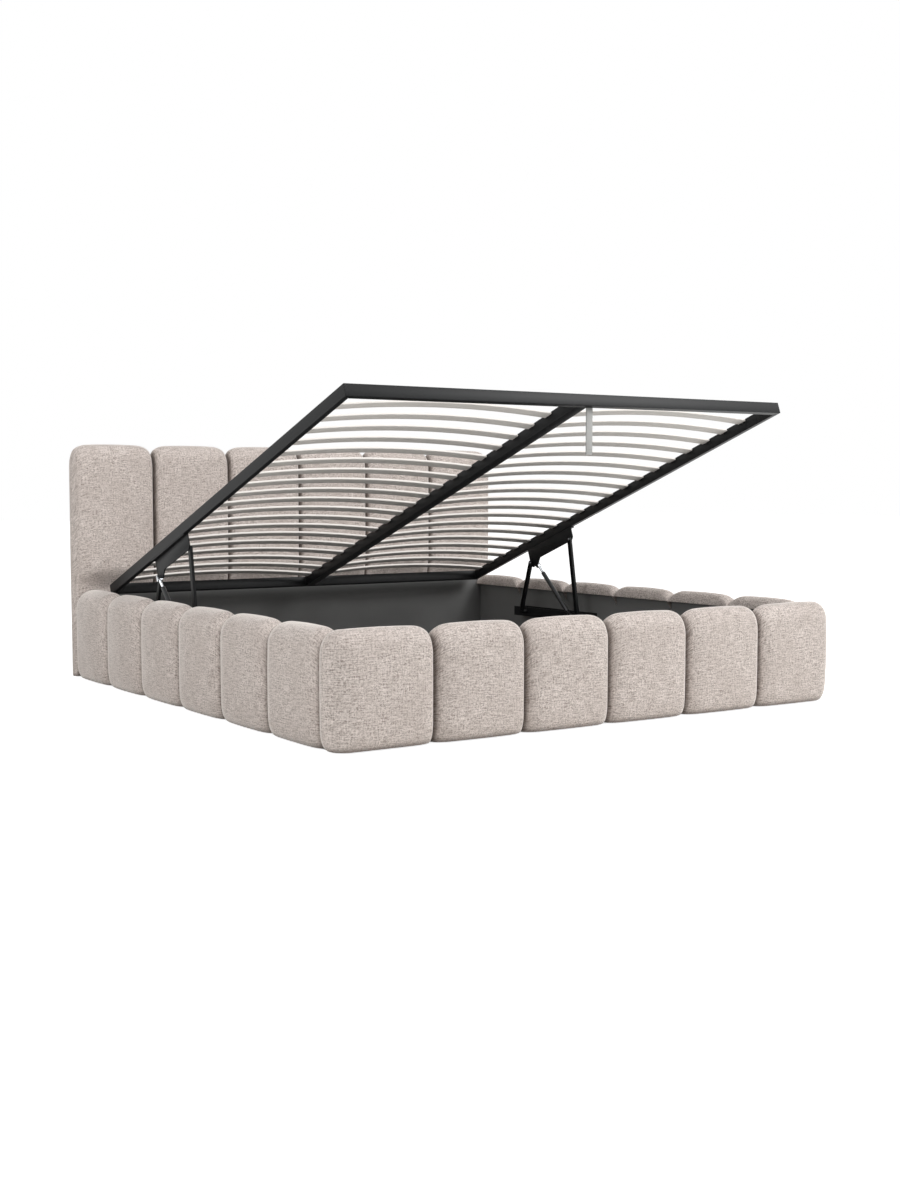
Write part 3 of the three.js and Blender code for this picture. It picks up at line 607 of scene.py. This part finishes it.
@dataclasses.dataclass
class Pad:
    """A stuffed channel set out flat: u runs across it, z up it, and d out from its back."""

    width: float
    height: float
    depth: float
    # Takes u, z and d to the channel's place on the bed
    place: Callable
    # How freely the channel swells at a height, from 0 to 1
    swell: Callable = lambda z: 1.0
    # Length of the cloth from the first seam to u
    cloth: Callable = lambda u: u
    seed: float = 0.0
    end_bulge: tuple = (0.0, 0.0)
    # Above its base, the lap reaches back over the board that the channel is fixed to
    lap: float = 0.0
    lap_base: float = 0.0

    seam_steps = 9
    bottom_steps = 5
    top_steps = 9
    lap_steps = 3
    spacing = 10 * MM
    # Length and height of the stuffing's waves, and how much of each there is
    waves = ((90 * MM, 110 * MM, 1.0), (35 * MM, 40 * MM, 0.4))
    wave_gap = 5
    # How far apart on the cloth two pads are cut whose seeds are 1 apart
    cut_gap = 3.7
    # The most of a lap's height that its rounding takes up
    lap_round = 0.8
    end_strips = (1 / 3, 2 / 3)

    def columns(self):
        """Places across the pad, closest together at its seams."""
        run = bpy.context.scene.bed_pads.edge_run
        from_left = [run * (1 - cosine) for _, cosine in quarter_turn(self.seam_steps)]
        from_right = [self.width - place for place in reversed(from_left)]
        start, end = from_left[-1], from_right[0]
        count = max(1, round((end - start) / self.spacing))
        between = [start + (end - start) * step / count for step in range(1, count)]
        return from_left + between + from_right

    def uneven(self, u, z):
        """Slow waves of the stuffing under the cover, about from -1 to 1."""
        return sum(
            share * noise.noise(Vector((u / long, z / high, self.seed + self.wave_gap * number)))
            for number, (long, high, share) in enumerate(self.waves)
        )

    def section(self, u):
        """Front and back points of the pad at u, from its lowest to its highest, as pairs of z and d."""
        size = bpy.context.scene.bed_pads
        from_seam = min(u, self.width - u)
        edge = rise_from_seam(from_seam, size.edge_run)
        drawn_in = size.seam_tuck * max(0.0, 1 - from_seam / size.seam_run) ** 2
        middle = 1 - (2 * u / self.width - 1) ** 2
        top = self.height - size.corner_drop * (1 - edge) - size.top_arc * (1 - middle) - drawn_in
        bottom = size.bottom_lift * (1 - edge) - size.hem_drop
        if self.lap:
            top = max(top, self.lap_base + size.board_cover)

        def front_at(z):
            up = (z - bottom) / (top - bottom)
            full = size.crown * edge + size.belly * middle * 4 * up * (1 - up)
            rough = edge * size.unevenness * self.uneven(u, z)
            return self.depth + self.swell(z) * (full + rough) - drawn_in

        low, high = bottom + size.bottom_run, top - size.edge_run
        centre = front_at(low) - size.bottom_tuck
        front, back = [], []
        for sine, cosine in quarter_turn(self.bottom_steps):
            front.append((bottom + size.bottom_run * (1 - cosine), centre + size.bottom_tuck * sine))
            back.append((bottom + size.back_hem * (1 - cosine), centre * (1 - sine)))

        steps = max(2, round((self.height - size.bottom_run - size.edge_run) / self.spacing))
        back_low, back_round, lap_steps = bottom + size.back_hem, size.back_round, 0
        if self.lap:
            back_round = min(back_round, self.lap_round * (top - self.lap_base))
            lap_steps = self.lap_steps
        shoulder = top - back_round
        ledge = self.lap_base if self.lap else shoulder
        upright = steps - 1 - lap_steps
        for step in range(1, steps):
            z = low + (high - low) * step / steps
            front.append((z, front_at(z)))
            if step <= upright:
                back.append((back_low + (ledge - back_low) * step / (upright + (not self.lap)), 0.0))
            else:
                share = (step - upright - 1) / lap_steps
                back.append((self.lap_base + (shoulder - self.lap_base) * share, -self.lap))

        out = front_at(high)
        crest = size.crest_share * (out + self.lap) - self.lap
        for sine, cosine in quarter_turn(self.top_steps):
            front.append((top - size.edge_run * (1 - sine), crest + (out - crest) * cosine))
            back.append((top - back_round * (1 - sine), (crest + self.lap) * (1 - cosine) - self.lap))
        return front, back

    def mesh(self, name):
        """The pad's closed surface, with its weave coordinates in metres along the cloth."""
        columns = self.columns()
        sections = [self.section(u) for u in columns]
        loops = [front + back[-2:0:-1] for front, back in sections]
        loop = len(loops[0])
        points = [self.place(u, z, d) for u, ring in zip(columns, loops) for z, d in ring]

        middle = loops[len(loops) // 2]
        along = [0.0]
        for (z, d), (next_z, next_d) in zip(middle, middle[1:] + middle[:1]):
            along.append(along[-1] + math.hypot(next_z - z, next_d - d))

        faces, corners = [], []
        offset = self.cut_gap * self.seed
        for column in range(len(columns) - 1):
            left, right = (self.cloth(u) + offset for u in columns[column:column + 2])
            start, beside = column * loop, (column + 1) * loop
            for row in range(loop):
                after = (row + 1) % loop
                faces.append((start + row, beside + row, beside + after, start + after))
                low, high = along[row:row + 2]
                corners += [(left, low), (right, low), (right, high), (left, high)]
        for column, outward in ((0, -1), (-1, 1)):
            reach = columns[column] + outward * self.end_bulge[column]
            start = (len(columns) - 1) * loop if column else 0
            self.close_end(start, columns[column], reach, sections[column], offset, points, faces, corners)
        return mesh_from(name, points, faces, corners, sharp=None)

    def close_end(self, start, u, reach, section, offset, points, faces, corners):
        """Fills the end of the pad at u, bulged as far as reach, with strips from its front to its back."""
        front, back = section
        last = len(front) - 1
        strips = [[start + row for row in range(last + 1)]]
        for share in self.end_strips:
            strip = [start]
            for row in range(1, last):
                (z, d), (back_z, back_d) = front[row], back[row]
                full = math.sin(math.pi * row / last) ** 0.5
                strip.append(len(points))
                points.append(self.place(
                    u + (reach - u) * full, z + (back_z - z) * share, d + (back_d - d) * share
                ))
            strips.append(strip + [start + last])
        strips.append([start, *(start + 2 * last - row for row in range(1, last)), start + last])
        across = [offset - share * self.depth for share in (0, *self.end_strips, 1)]
        for near, far, near_u, far_u in zip(strips, strips[1:], across, across[1:]):
            for row in range(last):
                quad = (near[row], near[row + 1], far[row + 1], far[row])
                low, high = front[row][0], front[row + 1][0]
                weave = [(near_u, low), (near_u, high), (far_u, high), (far_u, low)]
                apart = [spot for spot in range(4) if quad[spot] not in quad[:spot]]
                faces.append(tuple(quad[spot] for spot in apart))
                corners += [weave[spot] for spot in apart]


def sew_pad(name, node, pad):
    """Makes a pad, smooths it, covers it and puts it in the place of its CAD solid."""
    piece = add_object(name, pad.mesh(name))
    smooth_once(piece)
    dress(piece, cover_fabric(), "bed_box", "oatmeal_weave", node)


def lap_over(board, pad_base, beyond=0.0, clearance=0.5 * MM):
    """How a channel's top laps over its board: how far, and from what height above the pad's base."""
    low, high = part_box(board)
    thickness = min(high.x - low.x, high.y - low.y)
    return {"lap": thickness + beyond, "lap_base": high.z + clearance - pad_base}


def straight_pad(low, high, **made):
    """A pad that faces the foot end, in the place of the solid with these corners."""
    depth = high.y - low.y - bpy.context.scene.bed_pads.crown
    return Pad(
        high.x - low.x, high.z - low.z, depth, lambda u, z, d: (low.x + u, high.y - d, low.z + z), **made
    )


class BED_OT_foot_pads(bpy.types.Operator):
    """Sews the pads of the foot end, of which the outer two wrap round the corners"""

    bl_idname = "bed.foot_pads"
    bl_label = "Foot pads"
    seed_step = 1.37

    def execute(self, context):
        size = context.scene.bed_pads
        for number in range(1, CHANNELS + 1):
            node = f"foot_pad_{number}"
            low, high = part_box(node)
            made = {"seed": number * self.seed_step, **lap_over("foot_board", low.z)}
            if number in (1, CHANNELS):
                pad = self.corner_pad(size, -1 if number == 1 else 1, low, high, made)
            else:
                pad = straight_pad(low, high, **made)
            sew_pad(f"foot_cushion_{number}", node, pad)
        return {"FINISHED"}

    def corner_pad(self, size, side, low, high, made):
        """A pad whose one end turns the corner of the box."""
        outer, seam = (low.x, high.x) if side < 0 else (high.x, low.x)
        half = abs(outer) - size.crown
        foot = low.y + size.crown
        side_low, side_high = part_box("side_pad_left_1")
        depth = side_high.x - side_low.x - size.crown
        straight = size.corner_return - size.corner_radius
        arc = size.corner_radius * math.pi / 2
        width = straight + arc + (half - abs(seam)) - size.corner_radius

        def place(u, z, d):
            out = d - depth
            if u < straight:
                return (side * (half + out), foot + size.corner_return - u, low.z + z)
            if u < straight + arc:
                angle = (u - straight) / size.corner_radius
                reach = size.corner_radius + out
                return (
                    side * (half - size.corner_radius + reach * math.cos(angle)),
                    foot + size.corner_radius - reach * math.sin(angle),
                    low.z + z,
                )
            return (side * (half - size.corner_radius - (u - straight - arc)), foot - out, low.z + z)

        def cloth(u):
            turned_length = min(max(u - straight, 0.0), arc)
            return u + turned_length * size.crown / size.corner_radius

        return Pad(width, high.z - low.z, depth, place, cloth=cloth, **made)


class BED_OT_side_pads(bpy.types.Operator):
    """Sews the pads along both sides of the box"""

    bl_idname = "bed.side_pads"
    bl_label = "Side pads"
    seed_step = 2.11

    def execute(self, context):
        size = context.scene.bed_pads
        for word, side in SIDES:
            for number in range(1, CHANNELS + 1):
                node = f"side_pad_{word}_{number}"
                low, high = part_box(node)
                back = high.x if side < 0 else low.x
                lap = lap_over(f"side_board_{word}", low.z, size.inner_lap)
                pad = Pad(
                    high.y - low.y, high.z - low.z, high.x - low.x - size.crown,
                    lambda u, z, d, low=low, back=back, side=side: (back + side * d, low.y + u, low.z + z),
                    seed=number * self.seed_step + side, **lap,
                )
                sew_pad(f"side_cushion_{word}_{number}", node, pad)
        return {"FINISHED"}


class BED_OT_headboard_pads(bpy.types.Operator):
    """Sews the upright channels of the headboard"""

    bl_idname = "bed.headboard_pads"
    bl_label = "Headboard pads"
    seed_step = 3.3
    end_bulge = 5 * MM

    def execute(self, context):
        size = context.scene.bed_pads
        for number in range(1, CHANNELS + 1):
            node = f"headboard_pad_{number}"
            low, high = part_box(node)

            def swell(z, low=low):
                share = min(max((z + low.z - size.pressed_top) / size.pressed_fade, 0.0), 1.0)
                return share * share * (3 - 2 * share)

            pad = straight_pad(
                low, high, swell=swell, seed=number * self.seed_step,
                end_bulge=(self.end_bulge * (number == 1), self.end_bulge * (number == CHANNELS)),
            )
            sew_pad(f"headboard_channel_{number}", node, pad)
        return {"FINISHED"}


class BED_OT_headboard_panel(bpy.types.Operator):
    """Covers the back of the headboard"""

    bl_idname = "bed.headboard_panel"
    bl_label = "Headboard panel"
    edge = 10 * MM
    edge_steps = 3
    corner = 45 * MM
    corner_steps = 8
    # Share of the panel's thickness that the weave moves up by as it rounds the edge
    edge_weave = 0.5

    def execute(self, context):
        low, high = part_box("headboard_panel")
        stations = [(low.y, 0.0), *(
            (high.y - self.edge * (1 - sine), self.edge * (1 - cosine))
            for sine, cosine in quarter_turn(self.edge_steps)
        )]
        points, faces = loft([
            [Vector((x, y, z)) for x, z in self.outline(low, high, inset)] for y, inset in stations
        ])
        corners = [
            (points[corner].x + points[corner].y, points[corner].z + points[corner].y * self.edge_weave)
            for face in faces for corner in face
        ]
        add_shape(
            "headboard_back", (points, faces, corners),
            cover_fabric(), "bed_box", "oatmeal_weave", "headboard_panel",
        )
        return {"FINISHED"}

    def outline(self, low, high, inset):
        """The panel's outline seen from behind, drawn in by an inset."""
        radius = self.corner - inset
        side, top = high.x - inset, high.z - inset
        points = [(-side, low.z + inset), (side, low.z + inset)]
        turns = quarter_turn(self.corner_steps)
        points += [(side - radius + radius * cosine, top - radius + radius * sine) for sine, cosine in turns]
        points += [(radius - side - radius * sine, top - radius + radius * cosine) for sine, cosine in turns]
        return points


# Box

class BED_OT_lined_boards(bpy.types.Operator):
    """Rounds and lines the boards of the box and the floor of the storage space"""

    bl_idname = "bed.lined_boards"
    bl_label = "Lined boards"
    edge = 1.5 * MM
    nodes = ("side_board_left", "side_board_right", "foot_board", "head_board",
             "floor_panel_left", "floor_panel_right")

    def execute(self, context):
        for node in self.nodes:
            finish_node(node, "lined", self.edge, board_lining(), "bed_box", "charcoal_liner", segments=3)
        return {"FINISHED"}


class BED_OT_battens(bpy.types.Operator):
    """Planes the batten that the closed frame rests on, and the beam under the floor"""

    bl_idname = "bed.battens"
    bl_label = "Battens"
    edge = 2 * MM

    def execute(self, context):
        for node in ("foot_cleat", "floor_beam"):
            finish_node(node, "planed", self.edge, planed_pine(), "bed_box", "pine_batten")
        return {"FINISHED"}


class BED_OT_glides(bpy.types.Operator):
    """Moulds the glides that the bed stands on"""

    bl_idname = "bed.glides"
    bl_label = "Glides"
    edge = 2 * MM
    recess_radius = 7 * MM
    recess_depth = 5 * MM
    recess_taper = 0.8

    def execute(self, context):
        for node in sorted(name for name in frame["nodes"] if name.startswith("glide_")):
            low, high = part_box(node)
            centre = (low + high) / 2
            radius = (high.x - low.x) / 2
            profile = [
                (high.z, radius - self.edge), (high.z - self.edge, radius), (low.z + self.edge, radius),
                (low.z, radius - self.edge), (low.z, self.recess_radius),
                (low.z + self.recess_depth, self.recess_radius * self.recess_taper),
            ]
            shape = turned(profile, lambda z, x, y: (centre.x + x, centre.y + y, z))
            add_shape(f"{node}_moulded", shape, black_plastic(), "bed_box", "black_plastic", node)
        return {"FINISHED"}


# Lifting frame

class BED_OT_steel_frame(bpy.types.Operator):
    """Coats the rails of the lifting frame"""

    bl_idname = "bed.steel_frame"
    bl_label = "Steel frame"

    def execute(self, context):
        radius = context.scene.bed_frame.tube_radius
        steel = (coated_steel(), "lift_frame", "black_steel")
        for node in ("foot_rail", "head_rail", "centre_rail"):
            finish_node(node, "coated", radius, *steel, segments=3)

        rail_low, rail_high = closed_box("foot_rail")
        width, height = rail_high.y - rail_low.y, rail_high.z - rail_low.z
        section = rounded_rectangle(width, height, radius)
        for word, side in SIDES:
            node = f"side_rail_{word}"
            low, high = closed_box(node)
            centre = (low.x if side < 0 else high.x) - side * width / 2
            level = rail_low.z + height / 2
            # Both ends are mitred, so the tube is longest on its outer side
            rings = [
                [
                    RAISED @ Vector((centre + x, end + inward * (width / 2 - side * x), level + z))
                    for x, z in section
                ]
                for end, inward in ((low.y, 1), (high.y, -1))
            ]
            add_shape(f"{node}_coated", loft(rings), *steel, node)
        return {"FINISHED"}


class BED_OT_slats(bpy.types.Operator):
    """Bends the slats and seats their ends in moulded caps on the rails"""

    bl_idname = "bed.slats"
    bl_label = "Slats"
    edge = 2.5 * MM
    stations = 14
    cap_lip = 0.5 * MM
    cap_depth = 1.5 * MM
    # Along a cap, as a share of its depth, and the size of its section there, eased at its mouth
    cap_shape = ((0.0, 1.0), (0.8, 1.0), (1.0, 0.96))

    def execute(self, context):
        size = context.scene.bed_frame
        rail_low, rail_high = closed_box("foot_rail")
        rail_width = rail_high.y - rail_low.y
        centre_half = closed_box("centre_rail")[1].x
        first = rail_high.y + size.slat_setback + size.slat_width / 2
        last = closed_box("head_rail")[0].y - size.slat_setback - size.slat_width / 2
        pitch = (last - first) / (size.slats_per_half - 1)
        middles = [first + number * pitch for number in range(size.slats_per_half)]
        base = rail_low.z + size.slat_rise + size.slat_thickness / 2
        slat_section = rounded_rectangle(size.slat_width, size.slat_thickness, self.edge)
        lip = 2 * self.cap_lip
        cap_section = rounded_rectangle(
            size.slat_width + lip, size.slat_thickness + lip, self.edge + self.cap_lip
        )
        for word, side in SIDES:
            outer, inner = side * (rail_high.x - rail_width), side * centre_half
            shares = [station / self.stations for station in range(self.stations + 1)]
            # Level at its ends and bowed up between them
            bow = [
                (outer + (inner - outer) * share, base + size.slat_bow * (1 - (2 * share - 1) ** 2), 1.0)
                for share in shares
            ]
            seats = [
                [(end + inward * self.cap_depth * out, base, scale) for out, scale in self.cap_shape]
                for end, inward in ((outer, -side), (inner, side))
            ]
            slats = [self.bar(slat_section, bow, middle) for middle in middles]
            caps = [self.bar(cap_section, seat, middle) for middle in middles for seat in seats]
            add_shape(f"slats_{word}", merged(slats), foiled_beech(), "lift_frame", "slatted_rail")
            add_shape(f"slat_caps_{word}", merged(caps), black_plastic(), "lift_frame", "black_plastic")
        return {"FINISHED"}

    def bar(self, section, stations, middle):
        """A bar across the frame, from the X, the height and the size of its section at each station."""
        return loft([
            [RAISED @ Vector((x, middle + across * scale, z + up * scale)) for across, up in section]
            for x, z, scale in stations
        ])


class BED_OT_pull_strap(bpy.types.Operator):
    """Sews the webbing strap that pulls the frame down, and rivets it to the foot rail"""

    bl_idname = "bed.pull_strap"
    bl_label = "Pull strap"
    edge = 0.8 * MM
    # Thickness of the strap where it lies double
    doubled = 4 * MM
    rivet_radius = 6 * MM
    rivet_height = 2 * MM
    rivet_rise = 15 * MM
    # How far down the strap its two rows of stitches are, as shares of its drop
    stitch_rows = (0.88, 0.95)
    stitches = 6
    stitch_radius = 0.5 * MM
    stitch_end_radius = 0.2 * MM
    # Length of a stitch as a share of the pitch from one to the next
    stitch_share = 0.6

    def execute(self, context):
        strap = add_object("strap_webbing", softened_copy("pull_strap", self.edge, segments=2))
        dress(strap, ribbed_webbing(), "lift_frame", "grey_webbing", "pull_strap")

        low, high = closed_box("pull_strap")
        rail_base = closed_box("foot_rail")[0].z
        middle = (low.x + high.x) / 2
        rivet = turned(dome(self.rivet_radius, self.rivet_height), lambda out, x, z: RAISED @ Vector(
            (middle + x, low.y + self.doubled + out, rail_base + self.rivet_rise + z)
        ))
        add_shape("strap_rivet", rivet, zinc_plate(), "lift_frame", "black_steel")

        # The tail hangs straight down, so its stitches are set out on the raised strap
        top = RAISED @ Vector((middle, low.y, rail_base))
        bottom = RAISED @ Vector((middle, high.y, low.z))
        pitch = (high.x - low.x) / self.stitches
        stitches = []
        for row in self.stitch_rows:
            height = top.z + (bottom.z - top.z) * row
            for face in (top.y, top.y + self.doubled):
                for number in range(self.stitches):
                    start = low.x + (number + (1 - self.stitch_share) / 2) * pitch
                    end = start + self.stitch_share * pitch
                    stitches.append(turned(
                        [
                            (start, self.stitch_end_radius), ((start + end) / 2, self.stitch_radius),
                            (end, self.stitch_end_radius),
                        ],
                        lambda x, y, z: (x, face + y, height + z), sides=8,
                    ))
        add_shape("strap_stitches", merged(stitches), sewing_thread(), "lift_frame", "grey_webbing")
        return {"FINISHED"}


# Lift mechanism

class BED_OT_mechanism(bpy.types.Operator):
    """Coats the plates, brackets and links of the lift mechanism"""

    bl_idname = "bed.mechanism"
    bl_label = "Lift mechanism"

    def execute(self, context):
        radius = context.scene.bed_frame.plate_radius
        carriers = {"base_plate": "bed_box", "upper_bracket": "lift_frame"}
        for word, _ in SIDES:
            for part in ("base_plate", "upper_bracket", "front_link", "rear_link"):
                node = f"{part}_{word}"
                finish_node(node, "coated", radius, coated_steel(), carriers.get(part, node), "black_steel")
        return {"FINISHED"}


class BED_OT_gas_struts(bpy.types.Operator):
    """Finishes the rods and cylinders of the gas struts"""

    bl_idname = "bed.gas_struts"
    bl_label = "Gas struts"
    edge = 0.6 * MM

    def execute(self, context):
        for word, _ in SIDES:
            rod, cylinder = f"strut_rod_{word}", f"strut_cylinder_{word}"
            finish_node(rod, "finished", self.edge, hard_chrome(), rod, "bright_rod")
            finish_node(cylinder, "finished", self.edge, black_enamel(), cylinder, "gas_spring_black")
        return {"FINISHED"}


class BED_OT_fasteners(bpy.types.Operator):
    """Puts domed rivet heads on the upper pivots of the links"""

    bl_idname = "bed.fasteners"
    bl_label = "Fasteners"
    link_radius = 10 * MM
    head_radius = 6 * MM
    head_height = 2.5 * MM

    def execute(self, context):
        for word, side in SIDES:
            for node in (f"front_link_{word}", f"rear_link_{word}"):
                end, face = self.link_end(node, side)
                head = turned(
                    dome(self.head_radius, self.head_height),
                    lambda out, y, z: (face - side * out, end.y + y, end.z + z),
                )
                add_shape(f"{node}_rivet", head, zinc_plate(), node, "black_steel")
        return {"FINISHED"}

    def link_end(self, node, side):
        """Centre of a link's upper end, and X of its face towards the middle of the bed."""
        pivot = Vector(joint_named(node.replace("link_", "link_pivot_"))["pos_m"])
        points = [vertex.co for vertex in frame["nodes"][node].data.vertices]
        arms = [Vector((0, point.y - pivot.y, point.z - pivot.z)) for point in points]
        farthest = max(arms, key=lambda arm: arm.length)
        end = pivot + farthest.normalized() * (farthest.length - self.link_radius)
        return end, min((point.x for point in points), key=lambda x: side * x)


# Studio

class BED_OT_studio(bpy.types.Operator):
    """Sets up the floor, the white background, the lamps and the camera"""

    bl_idname = "bed.studio"
    bl_label = "Studio"
    sensor_width = 36
    sight = 100
    floor_half = 30.0
    floor_lift = 0.87
    target = Vector((0.0, 0.0, 0.4))
    # Where each lamp hangs from the target, how far off, and how wide it is
    lamps = {
        "key": ((0.85, -0.85, 0.9), 8.0, 4.2),
        "front": ((0.42, -1.0, 0.85), 6.0, 3.0),
        "fill": ((-1.0, -0.1, 0.4), 6.0, 3.0),
        "top": ((-0.3, -0.7, 1.3), 6.0, 3.0),
    }

    def execute(self, context):
        settings = context.scene.bed_studio
        context.scene.view_settings.view_transform = "Standard"
        self.add_camera(context, settings)
        self.add_floor()
        self.add_sky(context, settings)
        for name, (direction, distance, width) in self.lamps.items():
            data = bpy.data.lights.new(f"{name}_lamp", "AREA")
            data.shape = "DISK"
            data.size = width
            data.energy = getattr(settings, f"{name}_power")
            lamp = add_object(f"{name}_lamp", data)
            towards = Vector(direction)
            lamp.location = self.target + towards.normalized() * distance
            lamp.rotation_euler = (-towards).to_track_quat("-Z", "Y").to_euler()
        return {"FINISHED"}

    def add_camera(self, context, settings):
        data = bpy.data.cameras.new("camera")
        data.sensor_width = self.sensor_width
        data.sensor_fit = "AUTO"
        data.lens = settings.camera_lens
        data.shift_x = settings.camera_shift
        data.clip_end = self.sight
        camera = add_object("camera", data)
        camera.location = settings.camera_place
        camera.rotation_euler = (math.pi / 2 - settings.camera_dip, 0, -settings.camera_turn)
        context.scene.camera = camera

    def add_floor(self):
        half = self.floor_half
        corners = [(-half, -half, 0), (half, -half, 0), (half, half, 0), (-half, half, 0)]
        floor = add_object("studio_floor", mesh_from("studio_floor", corners, [(0, 1, 2, 3)]))
        material, node = new_material(
            "white studio floor", Base_Color=linear("#ECECEA"), Roughness=0.9, Specular_IOR_Level=0.1,
            Emission_Color=linear("#FFFFFF"),
        )
        # Seen or mirrored, the floor is lifted towards white, and the lamps light it as it is
        lifted = node("MapRange", (self.seen_or_mirrored(material), 0.0, 1.0, 0.0, self.floor_lift))
        floor.data.materials.append(feed(material, Emission_Strength=lifted))

    def add_sky(self, context, settings):
        world = bpy.data.worlds.new("studio")
        context.scene.world = world
        world.use_nodes = True
        sky = world.node_tree.nodes["Background"]
        sky.inputs["Color"].default_value = linear("#FFFFFF")
        strength = add_node(world, "MapRange", (self.seen_or_mirrored(world), 0.0, 1.0, settings.sky, 1.0))
        world.node_tree.links.new(strength, sky.inputs["Strength"])

    def seen_or_mirrored(self, surface):
        """1 for what the camera sees, straight or in something shiny or clear, and 0 for what lights."""
        seen = add_node(surface, "LightPath", output="Is Camera Ray")
        rays = seen.node.outputs
        for mirrored in (rays["Is Glossy Ray"], rays["Is Transmission Ray"]):
            seen = add_node(surface, "Math", (seen, mirrored), operation="MAXIMUM")
        return seen


class BED_PT_sidebar(bpy.types.Panel):
    """Lists the pieces of the bed"""

    bl_idname = "BED_PT_sidebar"
    bl_label = "Upholstered storage bed"
    bl_space_type = "VIEW_3D"
    bl_region_type = "UI"
    bl_category = "Bed"

    def draw(self, context):
        for name in SETTINGS:
            group = getattr(context.scene, name)
            for entry in group.bl_rna.properties:
                if entry.identifier not in ("rna_type", "name"):
                    self.layout.prop(group, entry.identifier)
        for operator in OPERATORS:
            self.layout.operator(operator.bl_idname)


SETTINGS = {
    "bed_fabric": BedFabricSettings,
    "bed_pads": BedPadSettings,
    "bed_frame": BedFrameSettings,
    "bed_box": BedBoxSettings,
    "bed_studio": BedStudioSettings,
}

OPERATORS = (
    BED_OT_studio,
    BED_OT_foot_pads,
    BED_OT_side_pads,
    BED_OT_headboard_pads,
    BED_OT_headboard_panel,
    BED_OT_lined_boards,
    BED_OT_battens,
    BED_OT_glides,
    BED_OT_steel_frame,
    BED_OT_slats,
    BED_OT_mechanism,
    BED_OT_gas_struts,
    BED_OT_fasteners,
    BED_OT_pull_strap,
)


def register():
    """Registers the settings, the operators and the sidebar panel."""
    for name, group in SETTINGS.items():
        bpy.utils.register_class(group)
        setattr(bpy.types.Scene, name, bpy.props.PointerProperty(type=group))
    for part in (*OPERATORS, BED_PT_sidebar):
        bpy.utils.register_class(part)


def unregister():
    """Takes out what register() put in."""
    for part in (BED_PT_sidebar, *reversed(OPERATORS)):
        bpy.utils.unregister_class(part)
    for name, group in reversed(SETTINGS.items()):
        delattr(bpy.types.Scene, name)
        bpy.utils.unregister_class(group)


def main():
    """Makes the whole bed and its studio."""
    register()
    for operator in OPERATORS:
        category, name = operator.bl_idname.split(".")
        getattr(getattr(bpy.ops, category), name)()


if __name__ == "__main__":
    main()
